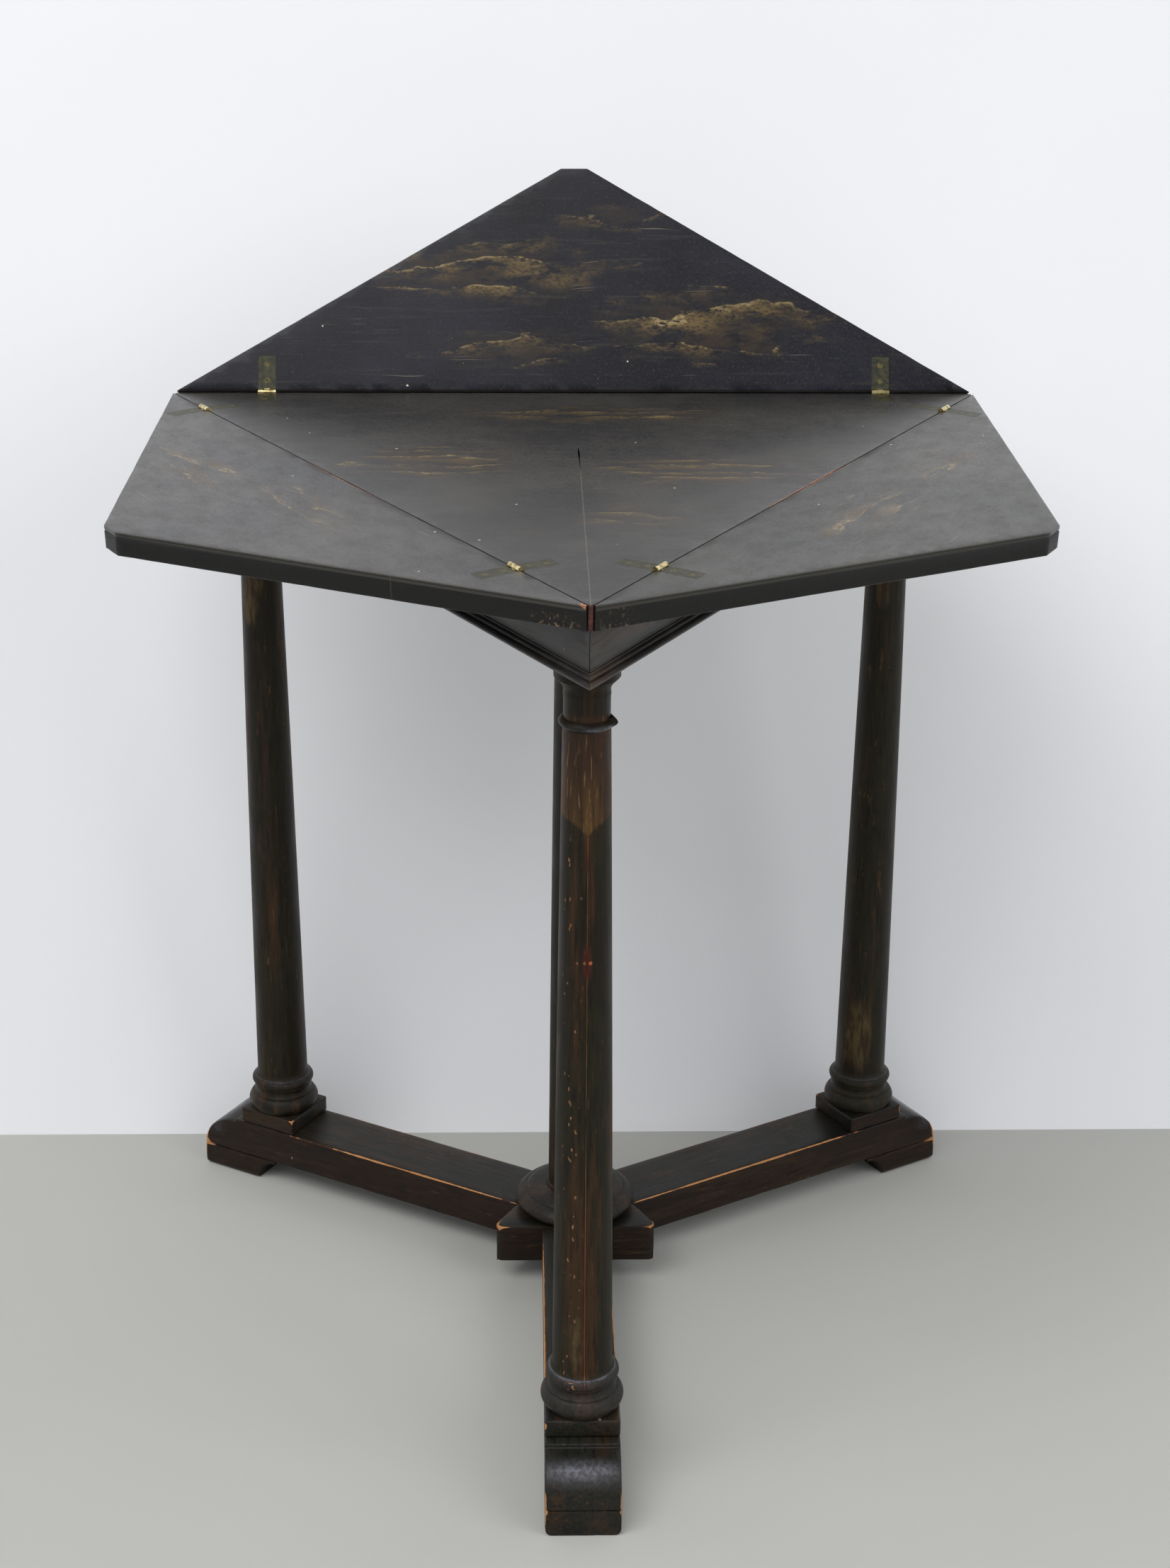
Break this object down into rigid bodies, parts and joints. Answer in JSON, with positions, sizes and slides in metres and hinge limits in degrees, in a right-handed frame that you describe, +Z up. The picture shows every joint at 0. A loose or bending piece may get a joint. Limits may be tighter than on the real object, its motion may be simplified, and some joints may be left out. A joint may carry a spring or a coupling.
{
  "type": "flip-top table",
  "caption": "Triangular table on turned column legs whose top swivels and carries hinged triangular leaves that fold over it or open to a hexagon.",
  "frame": {"origin": "the point of the floor under the pivot of the top, at the middle of the three feet", "axes": "+Z up, -Y toward the front leg, +X to the right seen from the front"},
  "size_m": [0.6966, 0.6806, 0.9199],
  "materials": {
    "lacquered_boards": "satin black lacquer, worn",
    "stained_turnings": "dark brown-black stain and varnish, worn",
    "stained_underframe": "black-brown stain, worn to bare wood on edges",
    "stained_frame": "dark brown stain",
    "bare_inner_wood": "unfinished",
    "brass_hinges": "tarnished, bright on the knuckles",
    "brass_screws": "tarnished",
    "iron_fixings": "dull iron"
  },
  "bodies": {
    "base": {"bearer_screws": "iron_fixings", "centre_column": "stained_turnings", "corner_block_front": "bare_inner_wood", "corner_block_left": "bare_inner_wood", "corner_block_right": "bare_inner_wood", "foot_pad_front": "stained_underframe", "foot_pad_left": "stained_underframe", "foot_pad_right": "stained_underframe", "frame_bearer": "bare_inner_wood", "frame_moulding_left": "stained_frame", "frame_moulding_rear": "stained_frame", "frame_moulding_right": "stained_frame", "frame_rail_left": "stained_frame", "frame_rail_rear": "stained_frame", "frame_rail_right": "stained_frame", "hub_block": "stained_underframe", "leg_front": "stained_turnings", "leg_left": "stained_turnings", "leg_right": "stained_turnings", "neck_ring_centre": "stained_turnings", "neck_ring_front": "stained_turnings", "neck_ring_left": "stained_turnings", "neck_ring_right": "stained_turnings", "pivot_bolt": "iron_fixings", "pivot_nut": "iron_fixings", "pivot_washer": "iron_fixings", "plinth_front": "stained_underframe", "plinth_left": "stained_underframe", "plinth_right": "stained_underframe", "stretcher_front": "stained_underframe", "stretcher_left": "stained_underframe", "stretcher_right": "stained_underframe"},
    "top": {"disc_screws": "iron_fixings", "hinge_pins_left": "brass_hinges", "hinge_pins_rear": "brass_hinges", "hinge_pins_right": "brass_hinges", "hinge_screws_top_left": "brass_screws", "hinge_screws_top_rear": "brass_screws", "hinge_screws_top_right": "brass_screws", "hinge_top_plate_left_a": "brass_hinges", "hinge_top_plate_left_b": "brass_hinges", "hinge_top_plate_rear_a": "brass_hinges", "hinge_top_plate_rear_b": "brass_hinges", "hinge_top_plate_right_a": "brass_hinges", "hinge_top_plate_right_b": "brass_hinges", "top_board": "lacquered_boards", "turntable_disc": "bare_inner_wood"},
    "leaf_left": {"hinge_leaf_plate_left_a": "brass_hinges", "hinge_leaf_plate_left_b": "brass_hinges", "hinge_screws_leaf_left": "brass_screws", "leaf_left": "lacquered_boards"},
    "leaf_right": {"hinge_leaf_plate_right_a": "brass_hinges", "hinge_leaf_plate_right_b": "brass_hinges", "hinge_screws_leaf_right": "brass_screws", "leaf_right": "lacquered_boards"},
    "leaf_rear": {"hinge_leaf_plate_rear_a": "brass_hinges", "hinge_leaf_plate_rear_b": "brass_hinges", "hinge_screws_leaf_rear": "brass_screws", "leaf_rear": "lacquered_boards"}
  },
  "joints": [
    {"name": "top_swivel", "type": "hinge", "parent": "base", "child": "top", "pos_m": [0, 0, 0.7187], "axis": [0, 0, 1], "continuous": true},
    {"name": "leaf_left_hinge", "type": "hinge", "parent": "top", "child": "leaf_left", "pos_m": [-0.1725, -0.09959, 0.74025], "axis": [-0.5, 0.866, 0], "range_deg": [0, 182]},
    {"name": "leaf_right_hinge", "type": "hinge", "parent": "top", "child": "leaf_right", "pos_m": [0.1725, -0.09959, 0.74025], "axis": [-0.5, -0.866, 0], "range_deg": [0, 182]},
    {"name": "leaf_rear_hinge", "type": "hinge", "parent": "top", "child": "leaf_rear", "pos_m": [0, 0.19919, 0.74025], "axis": [1, 0, 0], "range_deg": [-71.4, 110.6]}
  ]
}
